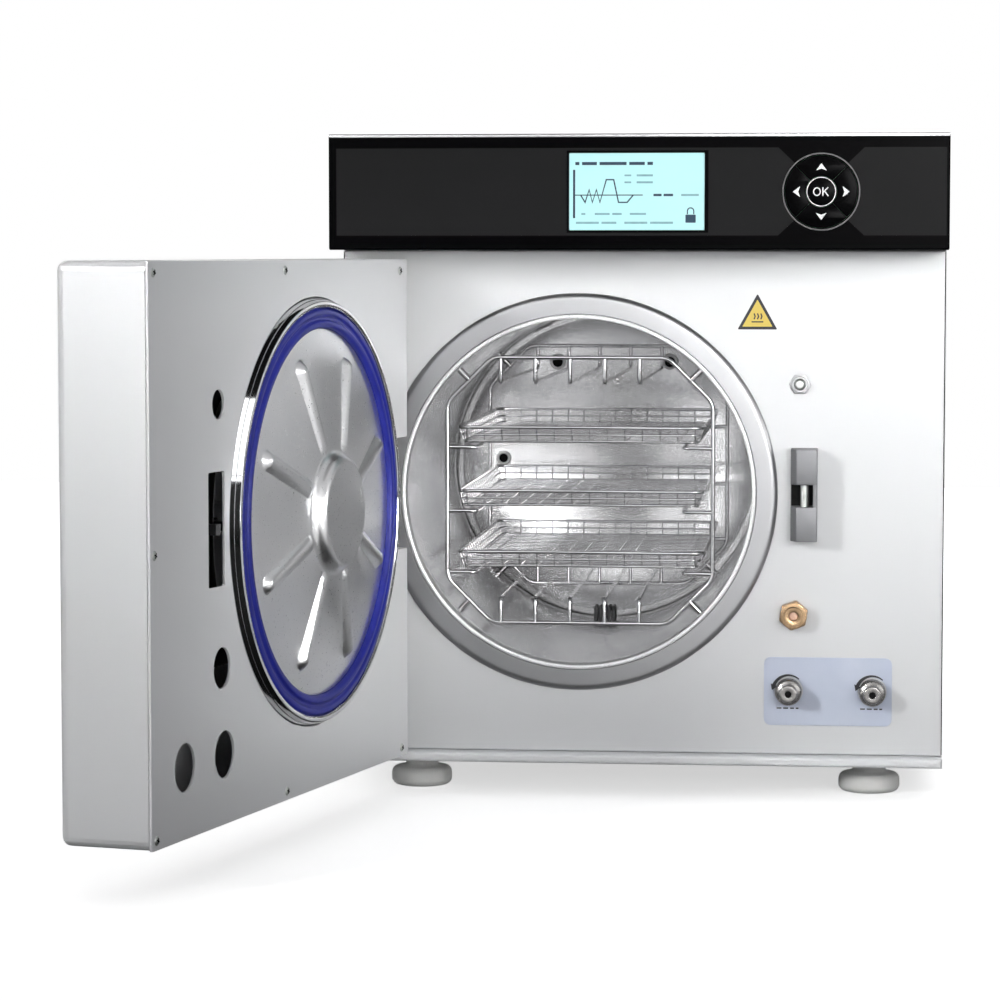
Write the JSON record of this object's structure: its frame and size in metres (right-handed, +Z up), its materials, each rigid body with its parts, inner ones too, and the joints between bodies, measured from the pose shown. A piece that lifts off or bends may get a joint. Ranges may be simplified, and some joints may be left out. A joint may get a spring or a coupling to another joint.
{
  "type": "benchtop autoclave",
  "caption": "Benchtop steam autoclave: a horizontal steel chamber with a wire rack of trays, a side-hinged door standing open, and a control head with a display and keys.",
  "frame": {"origin": "middle of the floor area that the object covers with its door open, on the bench surface", "axes": "+X to the right as seen from the front, +Y from the front to the back, +Z up"},
  "size_m": [0.5418, 0.9798, 0.4813],
  "materials": {
    "white_paint": "satin powder coat",
    "cream_plastic": "fine texture",
    "black_gloss": "high gloss",
    "screen_glass": "clear window over a pale cyan screen",
    "rubber_white": "matte",
    "polished_steel": "mirror polished",
    "satin_steel": "satin",
    "zinc_steel": "zinc plated",
    "olive_steel": "olive chromate",
    "brass": "machined",
    "blue_silicone": "satin silicone",
    "mineral_wool": "mineral fibre blanket",
    "dark_plastic": "moulded",
    "clear_tank": "translucent moulding",
    "board_green": "solder mask",
    "aluminium": "plain extruded",
    "pale_blue": "printed label",
    "red_plastic": "moulded"
  },
  "bodies": {
    "cabinet": {"base_pan": "white_paint", "brass_fitting": "brass", "chamber": "polished_steel", "chamber_cradle": "zinc_steel", "chamber_flange": "polished_steel", "clean_water_tank": "clear_tank", "condenser": "aluminium", "control_board": "board_green", "control_fascia": "black_gloss", "display_module": "screen_glass", "door_switch_bushing": "satin_steel", "drain_strainer": "zinc_steel", "fan_frame": "dark_plastic", "fan_guard": "satin_steel", "foot_front_left": "rubber_white", "foot_front_right": "rubber_white", "foot_rear_left": "rubber_white", "foot_rear_right": "rubber_white", "front_panel": "white_paint", "heater_band": "satin_steel", "hinge_bracket": "olive_steel", "hinge_pin": "satin_steel", "insulation_jacket": "mineral_wool", "lock_housing": "satin_steel", "mains_inlet": "dark_plastic", "outer_cover": "white_paint", "rear_panel": "white_paint", "relief_valve": "brass", "steam_generator": "satin_steel", "used_water_tank": "clear_tank", "vacuum_pump": "dark_plastic", "valve_label_plate": "pale_blue", "valve_manifold": "brass", "water_pump": "dark_plastic"},
    "door": {"door_inner_panel": "white_paint", "door_cover": "white_paint", "door_carrier": "olive_steel", "lid_spindle": "zinc_steel", "chamber_lid": "polished_steel", "door_seal": "blue_silicone"},
    "latch": {"latch_shaft": "zinc_steel", "latch_hook": "satin_steel", "door_handle": "cream_plastic"},
    "rack": {"chamber_rack": "polished_steel"},
    "tray_upper": {"tray_upper": "polished_steel"},
    "tray_middle": {"tray_middle": "polished_steel"},
    "tray_lower": {"tray_lower": "polished_steel"},
    "fan": {"fan_rotor": "dark_plastic"},
    "rocker": {"mains_rocker": "red_plastic"},
    "relief": {"relief_knob": "brass"},
    "ok_key": {"ok_key": "black_gloss"},
    "key_up": {"arrow_key_up": "black_gloss"},
    "key_down": {"arrow_key_down": "black_gloss"},
    "key_left": {"arrow_key_left": "black_gloss"},
    "key_right": {"arrow_key_right": "black_gloss"},
    "valve_left": {"drain_valve_left": "satin_steel"},
    "valve_right": {"drain_valve_right": "satin_steel"},
    "switch": {"door_switch_plunger": "dark_plastic"},
    "bolt": {"lock_bolt": "zinc_steel"},
    "tank_lid": {"tank_lid": "cream_plastic"}
  },
  "joints": [
    {"name": "door_hinge", "type": "hinge", "parent": "cabinet", "child": "door", "pos_m": [-0.14515, -0.08005, 0.2195], "axis": [0, 0, 1], "range_deg": [-12, 103.6]},
    {"name": "door_handle_pull", "type": "hinge", "parent": "door", "child": "latch", "pos_m": [-0.2478, -0.42355, 0.2195], "axis": [0, 0, 1], "range_deg": [0, 15], "stiffness_Nm_per_rad": 0.6},
    {"name": "rack_slide", "type": "slide", "parent": "cabinet", "child": "rack", "axis": [0, 1, 0], "range_m": [-0.25, 0]},
    {"name": "tray_upper_slide", "type": "slide", "parent": "rack", "child": "tray_upper", "axis": [0, 1, 0], "range_m": [-0.2, 0]},
    {"name": "tray_middle_slide", "type": "slide", "parent": "rack", "child": "tray_middle", "axis": [0, 1, 0], "range_m": [-0.2, 0]},
    {"name": "tray_lower_slide", "type": "slide", "parent": "rack", "child": "tray_lower", "axis": [0, 1, 0], "range_m": [-0.2, 0]},
    {"name": "fan_spin", "type": "hinge", "parent": "cabinet", "child": "fan", "pos_m": [-0.04515, 0.44615, 0.3], "axis": [0, 1, 0], "continuous": true},
    {"name": "mains_rocker_tilt", "type": "hinge", "parent": "cabinet", "child": "rocker", "pos_m": [0.19985, 0.46295, 0.107], "axis": [-1, 0, 0], "range_deg": [0, 14]},
    {"name": "relief_knob_pull", "type": "slide", "parent": "cabinet", "child": "relief", "axis": [0, 1, 0], "range_m": [0, 0.003], "stiffness_N_per_m": 2000},
    {"name": "ok_key_press", "type": "slide", "parent": "cabinet", "child": "ok_key", "axis": [0, 1, 0], "range_m": [0, 0.0007], "stiffness_N_per_m": 600},
    {"name": "arrow_key_up_press", "type": "slide", "parent": "cabinet", "child": "key_up", "axis": [0, 1, 0], "range_m": [0, 0.0007], "stiffness_N_per_m": 600},
    {"name": "arrow_key_down_press", "type": "slide", "parent": "cabinet", "child": "key_down", "axis": [0, 1, 0], "range_m": [0, 0.0007], "stiffness_N_per_m": 600},
    {"name": "arrow_key_left_press", "type": "slide", "parent": "cabinet", "child": "key_left", "axis": [0, 1, 0], "range_m": [0, 0.0007], "stiffness_N_per_m": 600},
    {"name": "arrow_key_right_press", "type": "slide", "parent": "cabinet", "child": "key_right", "axis": [0, 1, 0], "range_m": [0, 0.0007], "stiffness_N_per_m": 600},
    {"name": "drain_valve_left_turn", "type": "hinge", "parent": "cabinet", "child": "valve_left", "pos_m": [0.16105, -0.04905, 0.0775], "axis": [0, -1, 0], "range_deg": [0, 90]},
    {"name": "drain_valve_right_turn", "type": "hinge", "parent": "cabinet", "child": "valve_right", "pos_m": [0.22085, -0.04905, 0.0775], "axis": [0, -1, 0], "range_deg": [0, 90]},
    {"name": "door_switch_press", "type": "slide", "parent": "cabinet", "child": "switch", "axis": [0, 1, 0], "range_m": [0, 0.003], "stiffness_N_per_m": 300},
    {"name": "lock_bolt_lift", "type": "slide", "parent": "cabinet", "child": "bolt", "axis": [0, 0, 1], "range_m": [0, 0.006], "stiffness_N_per_m": 150},
    {"name": "tank_lid_hinge", "type": "hinge", "parent": "cabinet", "child": "tank_lid", "pos_m": [0.05485, 0.39295, 0.4785], "axis": [-1, 0, 0], "range_deg": [0, 95]}
  ]
}
